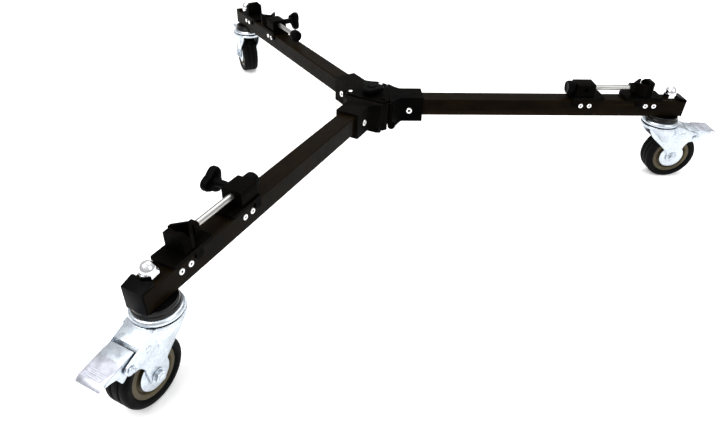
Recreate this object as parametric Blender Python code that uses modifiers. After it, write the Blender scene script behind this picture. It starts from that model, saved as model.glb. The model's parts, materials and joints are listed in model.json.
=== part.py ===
"""A three-arm folding dolly for a camera tripod, in metres, +Z up.

Each arm is modelled in its own axes: x runs outward from the hub's axis, y to the left of someone
who looks outward along the arm, and z up from the top face of the arm's tube.
"""

from math import acos, atan2, cos, degrees, pi, radians, sin

import bmesh
import bpy
from mathutils import Matrix, Vector

# Driving dimensions
TUBE_TOP = 0.1315  # height of the tubes' top faces over the floor
TUBE = 0.0254  # square tube, across its flats
WALL = 0.0015
GAP = 0.0003  # between pieces that touch

HUB_FACE = 0.0252  # from the hub's axis to each flat that a socket butts on
HUB_CORNER = 0.038
HUB_TOP = 0.003
HUB_BOTTOM = -0.040
RECESS_FACE = 0.0223  # the flats below the stops, where the knuckles turn
STOP_FOOT = -0.027  # lower edge of the stop faces
PIN = Vector((0.029, 0.0, -0.034))  # fold axis of an arm
PIN_RADIUS = 0.0025
KNUCKLE_RADIUS = 0.0057
TONGUE_HALF = 0.009

SOCKET_END = 0.075
SOCKET_TOP = 0.004
SOCKET_BOTTOM = -0.033
SOCKET_HALF = 0.017
SOCKET_FLARE = 0.031
SOCKET_RIVET_X = 0.055
SOCKET_RIVET_Z = -0.016

TUBE_START = 0.046
TUBE_END = 0.471
KINGPIN_X = 0.450

HOUSING_START = 0.301
HOUSING_END = 0.328
ROD_Z = 0.0155
ROD_RADIUS = 0.0038
ROD_BORE = 0.0041
JAW_BACK = 0.3845  # inner face of the moving jaw's boss, with the clamp closed
JAW_TIP = 0.407
JAW_HALF = 0.0135
JAW_TRAVEL = 0.056
FIXED_JAW_OUTER = 0.417
RIVET_RADIUS = 0.0025
RIVET_Z = -0.0087
CLAMP_RIVETS = (0.312, 0.325, 0.411, 0.424)

RACE_RADIUS = 0.027
AXLE = Vector((0.031, 0.0, -0.094))  # from the kingpin's axis, in the caster's axes
WHEEL_RADIUS = 0.0375
TYRE_HALF = 0.0142
FORK_INSIDE = 0.0152
FORK_OUTSIDE = 0.0177
PEDAL_PIVOT = Vector((0.056, 0.0, -0.059))
PEDAL_HALF = 0.0144
PEDAL_METAL = 0.002
SHOE = Vector((0.0646, 0.0, -0.0677))
SHOE_RADIUS = 0.0022

# name: (direction of the arm, how far its clamp is open, direction of its caster, tilt of its
# pedal), in metres and degrees. A released pedal's outer end stands higher, by a negative tilt.
RELEASED = -8.0
ARMS = {
    "right": (0.0, 0.0, 0.0, RELEASED),
    "back": (120.0, JAW_TRAVEL, -10.0, RELEASED),
    "front": (240.0, 0.0, 0.0, 0.0),
}
STAR_KNOBS = ("back", "front")  # the right arm's rod has no locking knob

# name: (colour, roughness, metallic)
FINISHES = {
    "black_paint": ((0.012, 0.011, 0.010), 0.32, 0.0),
    "black_casting": ((0.010, 0.010, 0.010), 0.45, 0.0),
    "black_plastic": ((0.009, 0.009, 0.010), 0.40, 0.0),
    "zinc": ((0.62, 0.64, 0.68), 0.30, 1.0),
    "chrome": ((0.80, 0.81, 0.84), 0.08, 1.0),
    "rubber": ((0.011, 0.011, 0.012), 0.62, 0.0),
    "brown_plastic": ((0.085, 0.062, 0.028), 0.45, 0.0),
}


def clear_scene():
    for obj in list(bpy.data.objects):
        bpy.data.objects.remove(obj)


def new_collection(name):
    collection = bpy.data.collections.new(name)
    bpy.context.scene.collection.children.link(collection)
    return collection


clear_scene()
PARTS = new_collection("tripod_dolly")
CUTTERS = new_collection("cutters")


def material(name):
    found = bpy.data.materials.get(name)
    if found:
        return found
    colour, roughness, metallic = FINISHES[name]
    made = bpy.data.materials.new(name)
    made.use_nodes = True
    shader = made.node_tree.nodes["Principled BSDF"]
    shader.inputs["Base Color"].default_value = (*colour, 1.0)
    shader.inputs["Roughness"].default_value = roughness
    shader.inputs["Metallic"].default_value = metallic
    return made


def pivot(name, parent, at, turn=0.0, tilt=0.0):
    """An empty on a joint's axis, placed in its parent's axes and turned by degrees about Z or Y."""
    empty = bpy.data.objects.new(name, None)
    empty.empty_display_size = 0.02
    empty.parent = parent
    empty.location = at
    empty.rotation_euler = (0.0, radians(tilt), radians(turn))
    PARTS.objects.link(empty)
    return empty


def object_from(bm, name):
    bmesh.ops.recalc_face_normals(bm, faces=bm.faces)
    mesh = bpy.data.meshes.new(name)
    bm.to_mesh(mesh)
    bm.free()
    return bpy.data.objects.new(name, mesh)


def box(name, low, high, radius=0.0, along="", segments=2):
    """A box between two corners. The edges that run along one axis are rounded by radius."""
    bm = bmesh.new()
    bmesh.ops.create_cube(bm, size=1.0)
    low, high = Vector(low), Vector(high)
    bmesh.ops.scale(bm, vec=high - low, verts=bm.verts)
    bmesh.ops.translate(bm, vec=(low + high) / 2, verts=bm.verts)
    if radius:
        axis = "XYZ".index(along)
        edges = [e for e in bm.edges if abs((e.verts[1].co - e.verts[0].co).normalized()[axis]) > 0.99]
        bmesh.ops.bevel(bm, geom=edges, offset=radius, segments=segments, profile=0.5, affect="EDGES")
    return object_from(bm, name)


def cylinder(name, radius, start, end, sides=12):
    """A round bar from one point to another."""
    start, end = Vector(start), Vector(end)
    turn = (end - start).to_track_quat("Z", "Y").to_matrix().to_4x4()
    bm = bmesh.new()
    bmesh.ops.create_cone(
        bm,
        cap_ends=True,
        segments=sides,
        radius1=radius,
        radius2=radius,
        depth=(end - start).length,
        matrix=Matrix.Translation((start + end) / 2) @ turn,
    )
    return object_from(bm, name)


def as_mesh(obj, matrix):
    """A mesh object made of another object as it is evaluated. The other object is removed."""
    PARTS.objects.link(obj)
    graph = bpy.context.evaluated_depsgraph_get()
    mesh = bpy.data.meshes.new_from_object(obj.evaluated_get(graph))
    mesh.transform(matrix)
    bm = bmesh.new()
    bm.from_mesh(mesh)
    bmesh.ops.remove_doubles(bm, verts=bm.verts, dist=0.000001)
    name = obj.name
    bpy.data.objects.remove(obj)
    return object_from(bm, name)


def plate(name, outline, low, high, plane="XY"):
    """A flat outline, in the XY or the XZ plane, extruded from low to high along the third axis."""
    curve = bpy.data.curves.new(name, "CURVE")
    curve.dimensions = "2D"
    curve.fill_mode = "BOTH"
    curve.extrude = (high - low) / 2
    spline = curve.splines.new("POLY")
    spline.points.add(len(outline) - 1)
    for point, (x, y) in zip(spline.points, outline):
        point.co = (x, y, 0.0, 1.0)
    spline.use_cyclic_u = True
    middle = (low + high) / 2
    if plane == "XY":
        matrix = Matrix.Translation((0.0, 0.0, middle))
    else:
        matrix = Matrix.Translation((0.0, middle, 0.0)) @ Matrix.Rotation(pi / 2, 4, "X")
    return as_mesh(bpy.data.objects.new(name, curve), matrix)


def turned(name, profile, steps, axis="Z"):
    """A profile of (radius, height) points turned about Z, then laid along Y if that is its axis."""
    mesh = bpy.data.meshes.new(name)
    count = len(profile)
    edges = [(i, (i + 1) % count) for i in range(count)]
    on_axis = [i for i, (radius, _) in enumerate(profile) if radius == 0.0]
    if on_axis:
        edges = [(a, b) for a, b in edges if not (a in on_axis and b in on_axis)]
    mesh.from_pydata([(radius, 0.0, height) for radius, height in profile], edges, [])
    obj = bpy.data.objects.new(name, mesh)
    screw = obj.modifiers.new("turn", "SCREW")
    screw.steps = steps
    screw.render_steps = steps
    screw.use_merge_vertices = True
    screw.merge_threshold = 0.000001
    matrix = Matrix.Rotation(-pi / 2, 4, "X") if axis == "Y" else Matrix.Identity(4)
    return as_mesh(obj, matrix)


def arc(x, y, radius, start, end, steps):
    """Points along an arc, in degrees, with both ends."""
    turns = [radians(start + (end - start) * i / steps) for i in range(steps + 1)]
    return [(x + radius * cos(a), y + radius * sin(a)) for a in turns]


def star_outline(middle, depth, steps=24):
    """A knob's outline with three soft lobes."""
    turns = [2 * pi * i / steps for i in range(steps)]
    radii = [middle + depth * cos(3 * a) for a in turns]
    return [(r * cos(a), r * sin(a)) for r, a in zip(radii, turns)]


def work(obj, tool, operation):
    """A Boolean with a tool that lies in the object's own axes."""
    tool.name = f"{obj.name}_{operation.lower()}_{len(obj.modifiers)}"
    CUTTERS.objects.link(tool)
    tool.parent = obj
    tool.hide_render = True
    tool.display_type = "WIRE"
    modifier = obj.modifiers.new(tool.name, "BOOLEAN")
    modifier.operation = operation
    modifier.object = tool


def cut(obj, *tools):
    for tool in tools:
        work(obj, tool, "DIFFERENCE")


def join(obj, *tools):
    for tool in tools:
        work(obj, tool, "UNION")


def add_part(obj, parent, finish, shift=(0.0, 0.0, 0.0)):
    """Hangs a part on its parent. The shift takes the part's own axes to the parent's."""
    PARTS.objects.link(obj)
    obj.parent = parent
    obj.location = shift
    obj.data.materials.clear()
    obj.data.materials.append(material(finish))
    obj.data.shade_smooth()
    obj.data.set_sharp_from_angle(angle=radians(35.0))


# The hub


def arm_angles():
    return [arm[0] for arm in ARMS.values()]


def gap_angles():
    return [angle + 60.0 for angle in arm_angles()]


def hub_outline(inset=0.0):
    """A triangle with its corners cut round, each flat facing an arm."""
    corner = HUB_CORNER - inset
    spread = 60.0 - degrees(acos((HUB_FACE - inset) / corner))
    points = []
    for angle in gap_angles():
        points += arc(0.0, 0.0, corner, angle - spread, angle + spread, 4)
    return points


def turned_about_hub(obj, angle):
    obj.data.transform(Matrix.Rotation(radians(angle), 4, "Z"))
    return obj


def tongue(angle):
    x, z = PIN.x, PIN.z
    root = RECESS_FACE / 2
    outline = [(root, z + KNUCKLE_RADIUS), (root, z - KNUCKLE_RADIUS)]
    outline += arc(x, z, KNUCKLE_RADIUS, -90.0, 90.0, 8)
    return turned_about_hub(plate("tongue", outline, -TONGUE_HALF, TONGUE_HALF, "XZ"), angle)


def make_hub(root):
    body = plate("hub_body", hub_outline(), HUB_BOTTOM, HUB_TOP)
    reach = 2 * HUB_CORNER
    for angle in arm_angles():
        below = box("recess", (RECESS_FACE, -reach, 2 * HUB_BOTTOM), (reach, reach, STOP_FOOT))
        cut(body, turned_about_hub(below, angle))
    for angle in arm_angles():
        join(body, tongue(angle))
    for angle in arm_angles():
        start, end = PIN - Vector((0, 0.02, 0)), PIN + Vector((0, 0.02, 0))
        cut(body, turned_about_hub(cylinder("pin_hole", PIN_RADIUS + GAP, start, end), angle))
    stud = 0.004
    stud_foot = -0.020
    cut(body, cylinder("stud_hole", stud + GAP, (0, 0, stud_foot - 0.001), (0, 0, 0.02)))
    add_part(body, root, "black_casting")

    cover_low, cover_high = HUB_TOP + GAP, HUB_TOP + 0.0028
    cover = plate("hub_cover", hub_outline(inset=0.0006), cover_low, cover_high)
    screw_at, screw_radius = 0.0305, 0.0031
    for angle in gap_angles():
        x, y = screw_at * cos(radians(angle)), screw_at * sin(radians(angle))
        join(cover, cylinder("screw", screw_radius, (x, y, cover_low + 0.0005), (x, y, cover_high + 0.0016)))
    cut(cover, cylinder("hole", stud + GAP, (0, 0, 0), (0, 0, 0.02)))
    add_part(cover, root, "black_casting")

    knob_pivot = pivot("lock_knob_axis", root, (0, 0, 0))
    low, high = cover_high + 0.0020, cover_high + 0.0095
    inside = 0.001
    knob = plate("lock_knob", star_outline(0.0155, 0.0028), low, high)
    join(
        knob,
        cylinder("boss", 0.009, (0, 0, cover_high + GAP), (0, 0, low + inside)),
        cylinder("stud", stud, (0, 0, stud_foot), (0, 0, low + inside)),
        cylinder("crown", 0.007, (0, 0, high - inside), (0, 0, high + inside)),
    )
    add_part(knob, knob_pivot, "black_plastic")


# The arm and its socket


def cross_hole(x, z, radius, reach=0.04, sides=10):
    return cylinder("cross_hole", radius, (x, -reach, z), (x, reach, z), sides)


def make_socket(name, fold, shift):
    neck_x, flare_x = 0.043, 0.0295
    half = [
        (HUB_FACE + GAP, SOCKET_FLARE),
        (flare_x, SOCKET_FLARE),
        (0.0360, 0.0225),
        (neck_x, SOCKET_HALF),
        (SOCKET_END, SOCKET_HALF),
    ]
    outline = half + [(x, -y) for x, y in reversed(half)]
    foot = PIN.z - KNUCKLE_RADIUS
    socket = plate(f"arm_socket_{name}", outline, foot, SOCKET_TOP)
    far = 0.1
    below = [(0.033, -far), (0.033, foot), (neck_x + 0.002, SOCKET_BOTTOM), (far, SOCKET_BOTTOM), (far, -far)]
    cut(
        socket,
        plate("below", below, -far, far, "XZ"),
        box("knuckle_room", (0, -far, -far), (PIN.x, far, PIN.z + KNUCKLE_RADIUS)),
    )
    knuckle_half = SOCKET_FLARE - 0.0005
    start, end = PIN - Vector((0, knuckle_half, 0)), PIN + Vector((0, knuckle_half, 0))
    join(socket, cylinder("knuckle", KNUCKLE_RADIUS, start, end, 16))
    slot = TONGUE_HALF + GAP
    bore = TUBE / 2 + GAP
    cut(
        socket,
        box("tongue_slot", (0, -slot, -far), (0.0355, slot, -0.022)),
        box("tube_bore", (TUBE_START - GAP, -bore, -TUBE - GAP), (far, bore, GAP)),
        cylinder("pin_bore", PIN_RADIUS + GAP, PIN - Vector((0, far, 0)), PIN + Vector((0, far, 0))),
        cross_hole(SOCKET_RIVET_X, SOCKET_RIVET_Z, RIVET_RADIUS + GAP),
    )
    add_part(socket, fold, "black_casting", shift)


def make_hinge_pin(name, arm):
    half = SOCKET_FLARE - 0.001
    start, end = PIN - Vector((0, half, 0)), PIN + Vector((0, half, 0))
    add_part(cylinder(f"hinge_pin_{name}", PIN_RADIUS, start, end), arm, "zinc")


def make_socket_rivet(name, fold, shift):
    face = SOCKET_HALF + GAP
    head = face + 0.0013
    bore, head_radius = 0.0015, 0.0040
    profile = [
        (bore, head),
        (head_radius - 0.0008, head),
        (head_radius, face),
        (RIVET_RADIUS, face),
        (RIVET_RADIUS, -face),
        (head_radius, -face),
        (head_radius - 0.0008, -head),
        (bore, -head),
    ]
    rivet = turned(f"socket_rivet_{name}", profile, 12, "Y")
    rivet.data.transform(Matrix.Translation((SOCKET_RIVET_X, 0, SOCKET_RIVET_Z)))
    add_part(rivet, fold, "zinc", shift)


def make_tube(name, fold, shift):
    half = TUBE / 2
    tube = box(f"arm_tube_{name}", (TUBE_START, -half, -TUBE), (TUBE_END, half, 0), 0.0016, "X")
    bore = half - WALL
    cut(
        tube,
        box("bore", (0, -bore, -TUBE + WALL), (2 * TUBE_END, bore, -WALL)),
        cylinder("stud_hole", 0.0053, (KINGPIN_X, 0, -0.05), (KINGPIN_X, 0, 0.05)),
        cross_hole(SOCKET_RIVET_X, SOCKET_RIVET_Z, RIVET_RADIUS + GAP),
    )
    for x in CLAMP_RIVETS:
        cut(tube, cross_hole(x, RIVET_Z, RIVET_RADIUS + GAP, sides=8))
    add_part(tube, fold, "black_paint", shift)


def make_end_cap(name, fold, shift):
    half = TUBE / 2
    inner, outer = 0.457, TUBE_END + 0.0018
    lip = TUBE_END + GAP
    outline = [
        (inner, GAP),
        (lip, GAP),
        (lip, -TUBE),
        (outer, -TUBE),
        (outer, 0.0008),
        (inner + 0.0022, 0.0047),
        (inner, 0.0038),
    ]
    cap = plate(f"end_cap_{name}", outline, -half, half, "XZ")
    plug = half - WALL - GAP
    join(cap, box("plug", (inner, -plug, -TUBE + WALL + GAP), (lip + 0.0005, plug, -WALL - GAP)))
    cut(cap, cylinder("nut_room", 0.0116, (KINGPIN_X, 0, 0), (KINGPIN_X, 0, 0.02), 20))
    add_part(cap, fold, "black_plastic", shift)


def make_cap_nut(name, fold, shift):
    flats = 0.0085
    corner = flats / cos(pi / 6)
    x = KINGPIN_X
    nut = cylinder(f"cap_nut_{name}", corner, (x, 0, GAP), (x, 0, 0.0085), 6)
    dome_foot, dome_height, dome_radius = 0.0080, 0.0100, 0.0083
    dome = [(0.0, dome_foot + dome_height)]
    dome += [(dome_radius * sin(a), dome_foot + dome_height * cos(a)) for a in (pi / 8, pi / 4, 3 * pi / 8)]
    dome += [(dome_radius, dome_foot), (0.0, dome_foot)]
    tool = turned("dome", dome, 16)
    tool.data.transform(Matrix.Translation((x, 0, 0)))
    join(nut, tool)
    cut(nut, cylinder("thread", 0.0053, (x, 0, -0.01), (x, 0, 0.0120)))
    add_part(nut, fold, "chrome", shift)


# The clamp for a tripod's foot


def skirts(x0, x1):
    """Two tabs that hang over the tube's sides."""
    inner, outer = TUBE / 2 + GAP, TUBE / 2 + 0.0021
    tabs = []
    for side in (-1, 1):
        low, high = sorted((side * inner, side * outer))
        tabs.append(box("skirt", (x0, low, -0.009), (x1, high, 0.0046), 0.002, "Y", 1))
    return tabs


def make_housing(name, fold, shift):
    half = TUBE / 2 + 0.0023
    housing = box(f"clamp_housing_{name}", (0.297, -half, GAP), (0.345, half, 0.0048), 0.002, "Z", 1)
    block_half = TUBE / 2 + 0.0003
    block = box("block", (HOUSING_START, -block_half, 0.003), (HOUSING_END, block_half, 0.0235), 0.003, "X")
    join(housing, block, *skirts(0.2977, 0.3077))
    knob_x = (HOUSING_START + HOUSING_END) / 2
    cut(
        housing,
        cylinder("rod_bore", ROD_BORE, (0.28, 0, ROD_Z), (0.36, 0, ROD_Z)),
        cylinder("screw_bore", 0.0028, (knob_x, 0, ROD_Z), (knob_x, -0.03, ROD_Z), 12),
    )
    add_part(housing, fold, "black_casting", shift)
    if name not in STAR_KNOBS:
        return

    star_axis = pivot(f"star_axis_{name}", fold, Vector((knob_x, 0, ROD_Z)) + Vector(shift))
    lobes = plate(f"star_knob_{name}", star_outline(0.0140, 0.0028), 0.031, 0.041, "XY")
    lobes.data.transform(Matrix.Rotation(pi / 2, 4, "X"))
    join(
        lobes,
        cylinder("stem", 0.0046, (0, -block_half - GAP, 0), (0, -0.0315, 0)),
        cylinder("screw", 0.0025, (0, -ROD_RADIUS - GAP, 0), (0, -0.014, 0), 12),
    )
    add_part(lobes, star_axis, "black_plastic")


def make_bracket(name, fold, shift):
    half = TUBE / 2 + 0.0023
    bracket = box(f"jaw_bracket_{name}", (0.378, -half, GAP), (0.434, half, 0.0048), 0.002, "Z", 1)
    inner = JAW_TIP + GAP
    outline = [
        (inner, -JAW_HALF),
        (FIXED_JAW_OUTER - 0.003, -JAW_HALF),
        (FIXED_JAW_OUTER, -JAW_HALF + 0.004),
        (FIXED_JAW_OUTER, JAW_HALF),
        (inner, JAW_HALF),
        (inner + 0.0042, 0.0),
    ]
    join(bracket, plate("jaw", outline, 0.004, 0.0260), *skirts(0.394, 0.404))
    corner = 0.005
    for side in (-1, 1):
        turn = Matrix.Rotation(radians(-45.0 * side), 4, "X")
        at = Vector((0.41, side * (JAW_HALF - corner / 2), 0.0260 - corner / 2))
        wedge = box("corner", (-0.02, -0.02, 0), (0.02, 0.02, 0.02))
        wedge.data.transform(Matrix.Translation(at) @ turn)
        cut(bracket, wedge)
    add_part(bracket, fold, "black_casting", shift)


def make_clamp_rivets(name, fold, shift):
    strip = box(f"clamp_rivets_{name}", (0.305, -0.004, -0.0125), (0.431, 0.004, -0.0050))
    face = TUBE / 2 + GAP
    head = face + 0.0010
    for x in CLAMP_RIVETS:
        join(strip, cross_hole(x, RIVET_Z, RIVET_RADIUS, face + GAP, 8))
        for side in (-1, 1):
            join(strip, cylinder("head", 0.0036, (x, side * face, RIVET_Z), (x, side * head, RIVET_Z), 10))
    add_part(strip, fold, "zinc", shift)


def make_rod(name, slide, shift):
    """The rod, its knob and its jaw, in the arm's axes, drawn with the clamp closed."""
    knob_back = 0.289
    rod = cylinder(f"clamp_rod_{name}", ROD_RADIUS, (knob_back + 0.004, 0, ROD_Z), (JAW_BACK + 0.004, 0, ROD_Z))
    add_part(rod, slide, "zinc", shift)

    knob_front = HOUSING_START - GAP
    radius, edge = 0.0094, 0.0015
    profile = [
        (0.0, knob_front),
        (radius - edge, knob_front),
        (radius, knob_front - edge),
        (radius, knob_back + edge),
        (radius - edge, knob_back),
        (0.0, knob_back),
    ]
    knob = turned(f"rod_knob_{name}", profile, 16)
    knob.data.transform(Matrix.Translation((0, 0, ROD_Z)) @ Matrix.Rotation(pi / 2, 4, "Y"))
    cut(knob, cylinder("bore", ROD_BORE, (knob_back + 0.0037, 0, ROD_Z), (0.32, 0, ROD_Z)))
    add_part(knob, slide, "black_plastic", shift)

    vertex, metal = 0.389, 0.0045
    side = [(JAW_TIP - metal, JAW_HALF), (JAW_TIP, JAW_HALF)]
    outline = [(vertex, 0.0), *side, (vertex + metal, 0.0)]
    outline += [(x, -y) for x, y in reversed(side)]
    jaw = plate(f"moving_jaw_{name}", outline, 0.0054, 0.0240)
    join(jaw, box("boss", (JAW_BACK, -0.006, 0.0095), (0.3920, 0.006, 0.0215), 0.002, "X", 1))
    cut(jaw, cylinder("bore", ROD_BORE, (0.37, 0, ROD_Z), (JAW_BACK + 0.0043, 0, ROD_Z)))
    add_part(jaw, slide, "black_casting", shift)


# The caster, in its own axes: x runs from the kingpin towards the wheel


def make_race(name, fold, shift):
    """The fixed race, with the threaded stem that holds it on the tube and the kingpin below it."""
    stem, kingpin = 0.0050, 0.0060
    profile = [
        (0.0, 0.0115),
        (stem, 0.0115),
        (stem, -TUBE - GAP),
        (0.0225, -TUBE - GAP),
        (0.0235, -0.0330),
        (0.0255, -0.0335),
        (RACE_RADIUS, -0.0370),
        (RACE_RADIUS, -0.0395),
        (kingpin, -0.0395),
        (kingpin, -0.0463),
        (0.0090, -0.0463),
        (0.0080, -0.0495),
        (0.0, -0.0495),
    ]
    race = turned(f"caster_race_{name}", profile, 20)
    race.data.transform(Matrix.Translation((KINGPIN_X, 0, 0)))
    add_part(race, fold, "zinc", shift)


def leg_outline():
    boss, horn = 0.0100, 0.0065
    x, z = AXLE.x, AXLE.z
    outline = [(0.040, -0.0460), (0.024, -0.0404), (-0.019, -0.0404)]
    outline += [(-0.019, -0.0480), (-0.006, -0.0640)]
    outline += arc(x, z, boss, 200.0, 340.0, 5)
    outline += [(0.0440, -0.0680)]
    outline += arc(PEDAL_PIVOT.x, PEDAL_PIVOT.z, horn, -60.0, 70.0, 4)
    return outline


def make_fork(name, swivel):
    profile = [
        (0.0063, -0.0398),
        (RACE_RADIUS, -0.0398),
        (RACE_RADIUS - 0.0005, -0.0430),
        (0.0235, -0.0460),
        (0.0063, -0.0460),
    ]
    fork = turned(f"caster_fork_{name}", profile, 20)
    for side in (-1, 1):
        low, high = sorted((side * FORK_INSIDE, side * FORK_OUTSIDE))
        join(fork, plate("leg", leg_outline(), low, high, "XZ"))
    metal = 0.002
    top = [(0.0200, -0.0409), (0.0240, -0.0409), (0.0398, -0.0464)]
    bridge = top + [(x - 0.0005, z - metal) for x, z in reversed(top)]
    bridge_half = (FORK_INSIDE + FORK_OUTSIDE) / 2
    join(fork, plate("bridge", bridge, -bridge_half, bridge_half, "XZ"))
    cut(
        fork,
        cross_hole(AXLE.x, AXLE.z, 0.0043),
        cross_hole(PEDAL_PIVOT.x, PEDAL_PIVOT.z, 0.0028),
    )
    add_part(fork, swivel, "zinc")


def make_axle(name, swivel):
    """The bolt with its head and nut, and the two thread guards that stand between wheel and fork."""
    radius, end = 0.0040, 0.0185
    axle = cylinder(f"axle_set_{name}", radius, AXLE - Vector((0, end, 0)), AXLE + Vector((0, end, 0)))
    guard_radius = 0.0185
    for side in (-1, 1):
        inner, outer = Vector((0, side * 0.0136, 0)), Vector((0, side * (FORK_INSIDE - GAP), 0))
        face, top = Vector((0, side * (FORK_OUTSIDE + GAP), 0)), Vector((0, side * 0.0225, 0))
        join(
            axle,
            cylinder("guard", guard_radius, AXLE + inner, AXLE + outer, 20),
            cylinder("head", 0.0072, AXLE + face, AXLE + top, 6),
        )
    add_part(axle, swivel, "zinc")


def make_wheel(name, swivel):
    hub = pivot(f"axle_{name}", swivel, AXLE)
    seat = 0.0275
    half = [(0.0043, 0.0133), (0.0105, 0.0133), (0.0125, 0.0095), (0.0215, 0.0095), (0.0230, 0.0125), (seat, 0.0125)]
    core = turned(f"wheel_core_{name}", half + [(r, -y) for r, y in reversed(half)], 20, "Y")
    add_part(core, hub, "brown_plastic")

    half = [
        (seat + GAP, 0.0125),
        (0.0300, TYRE_HALF),
        (0.0348, TYRE_HALF),
        (0.0369, 0.0123),
        (WHEEL_RADIUS, 0.0090),
    ]
    tyre = turned(f"wheel_tyre_{name}", half + [(r, -y) for r, y in reversed(half)], 28, "Y")
    add_part(tyre, hub, "rubber")


def make_pedal(name, swivel, tilt):
    axis = pivot(f"pedal_axis_{name}", swivel, PEDAL_PIVOT, tilt=tilt)
    metal = PEDAL_METAL
    top = [(0.046, -0.0470), (0.085, -0.0536), (0.0895, -0.0565)]
    under = [(x - 0.0004, z - metal) for x, z in reversed(top)]
    pedal = plate(f"brake_pedal_{name}", top + under, -PEDAL_HALF, PEDAL_HALF, "XZ")
    slope = degrees(atan2(SHOE.z - PEDAL_PIVOT.z, SHOE.x - PEDAL_PIVOT.x))
    flange = [(0.0840, -0.0540), (0.0480, -0.0480)]
    flange += arc(PEDAL_PIVOT.x, PEDAL_PIVOT.z, 0.0045, 170.0, 180.0 + slope + 95.0, 4)
    flange += arc(SHOE.x, SHOE.z, SHOE_RADIUS, slope - 80.0, slope + 80.0, 4)
    for side in (-1, 1):
        low, high = sorted((side * (PEDAL_HALF - metal), side * (PEDAL_HALF - 0.0002)))
        join(pedal, plate("flange", flange, low, high, "XZ"))
    reach = Vector((0, PEDAL_HALF - 0.0005, 0))
    join(pedal, cylinder("shoe", SHOE_RADIUS - 0.0003, SHOE - reach, SHOE + reach, 10))
    pin = FORK_OUTSIDE + 0.0015
    join(pedal, cross_hole(PEDAL_PIVOT.x, PEDAL_PIVOT.z, 0.0025, pin))
    for side in (-1, 1):
        face, end = Vector((0, side * (FORK_OUTSIDE + GAP), 0)), Vector((0, side * (pin + 0.0002), 0))
        join(pedal, cylinder("head", 0.0042, PEDAL_PIVOT + face, PEDAL_PIVOT + end, 10))
    add_part(pedal, axis, "zinc", -PEDAL_PIVOT)


def make_arm(name, root):
    direction, clamp_open, caster_turn, pedal_tilt = ARMS[name]
    arm = pivot(f"arm_{name}", root, (0, 0, 0), direction)
    make_hinge_pin(name, arm)
    fold = pivot(f"fold_{name}", arm, PIN)
    shift = -PIN
    for make in (
        make_socket,
        make_socket_rivet,
        make_tube,
        make_end_cap,
        make_cap_nut,
        make_housing,
        make_bracket,
        make_clamp_rivets,
        make_race,
    ):
        make(name, fold, shift)
    rod_at = Vector((HOUSING_START, 0, ROD_Z))
    slide = pivot(f"slide_{name}", fold, rod_at + shift - Vector((clamp_open, 0, 0)))
    make_rod(name, slide, -rod_at)
    swivel = pivot(f"swivel_{name}", fold, Vector((KINGPIN_X, 0, 0)) + shift, caster_turn)
    make_fork(name, swivel)
    make_axle(name, swivel)
    make_wheel(name, swivel)
    make_pedal(name, swivel, pedal_tilt)


def stand_on_origin(root):
    """Moves the whole dolly so that the middle of its footprint's box is over the origin."""
    root.location = (0.0, 0.0, TUBE_TOP)
    bpy.context.view_layer.update()
    graph = bpy.context.evaluated_depsgraph_get()
    corners = []
    for obj in PARTS.objects:
        if obj.type == "MESH":
            mesh = obj.evaluated_get(graph).to_mesh()
            corners += [obj.matrix_world @ vertex.co for vertex in mesh.vertices]
    for axis in (0, 1):
        values = [point[axis] for point in corners]
        root.location[axis] = -(min(values) + max(values)) / 2


def main():
    root = pivot("dolly", None, (0, 0, 0))
    make_hub(root)
    for name in ARMS:
        make_arm(name, root)
    stand_on_origin(root)


main()
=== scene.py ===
"""The looks of the three-arm tripod dolly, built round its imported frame. Metres, +Z up.

Arm axes: x outward from the hub's axis, y to the left as seen from the hub, z up from the tubes'
top faces. Caster axes: the same, from the kingpin's axis, with x towards the wheel.
"""

import json
from math import cos, pi, radians, sin

import bmesh
import bpy
from mathutils import Matrix, Vector


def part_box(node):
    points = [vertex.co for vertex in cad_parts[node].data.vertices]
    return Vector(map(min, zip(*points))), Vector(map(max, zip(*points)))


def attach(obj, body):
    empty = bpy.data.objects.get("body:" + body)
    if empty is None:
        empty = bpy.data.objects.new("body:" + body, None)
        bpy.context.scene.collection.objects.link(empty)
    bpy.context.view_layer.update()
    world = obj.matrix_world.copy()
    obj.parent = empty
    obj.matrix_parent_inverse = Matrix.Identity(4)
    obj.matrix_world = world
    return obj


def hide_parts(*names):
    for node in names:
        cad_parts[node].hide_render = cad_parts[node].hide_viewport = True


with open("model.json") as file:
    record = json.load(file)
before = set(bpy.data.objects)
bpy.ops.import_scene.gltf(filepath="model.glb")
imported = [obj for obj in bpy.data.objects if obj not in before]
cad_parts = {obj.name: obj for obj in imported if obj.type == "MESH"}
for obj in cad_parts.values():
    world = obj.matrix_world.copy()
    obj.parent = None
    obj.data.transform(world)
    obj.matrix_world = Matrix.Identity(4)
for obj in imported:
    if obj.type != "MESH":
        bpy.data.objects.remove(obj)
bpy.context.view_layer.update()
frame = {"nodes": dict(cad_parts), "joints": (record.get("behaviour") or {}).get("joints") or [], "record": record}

JOINTS = {joint["name"]: joint for joint in frame["joints"]}
NODES = frame["nodes"]
ARMS = ("right", "back", "front")
UP = Vector((0.0, 0.0, 1.0))
TUBE_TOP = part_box("arm_tube_right")[1].z
HUB = Vector((*JOINTS["lock_knob_turn"]["pos_m"][:2], TUBE_TOP))
BOTH_SIDES = (-1.0, 1.0)


def axes_at(point, across):
    """Axes at a point: y along across, z up, x = y cross z."""
    across = Vector(across).normalized()
    turn = Matrix((across.cross(UP), across, UP)).transposed().to_4x4()
    return Matrix.Translation(point) @ turn


def arm_axes(arm):
    return axes_at(HUB, JOINTS[f"fold_{arm}"]["axis"])


def caster_axes(arm):
    x, y, _ = JOINTS[f"swivel_{arm}"]["pos_m"]
    return axes_at((x, y, TUBE_TOP), JOINTS[f"wheel_turn_{arm}"]["axis"])


def local_point(axes, point):
    return axes.inverted() @ Vector(point)


# Sizes read from the frame, and below them those of the visible shapes


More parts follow.
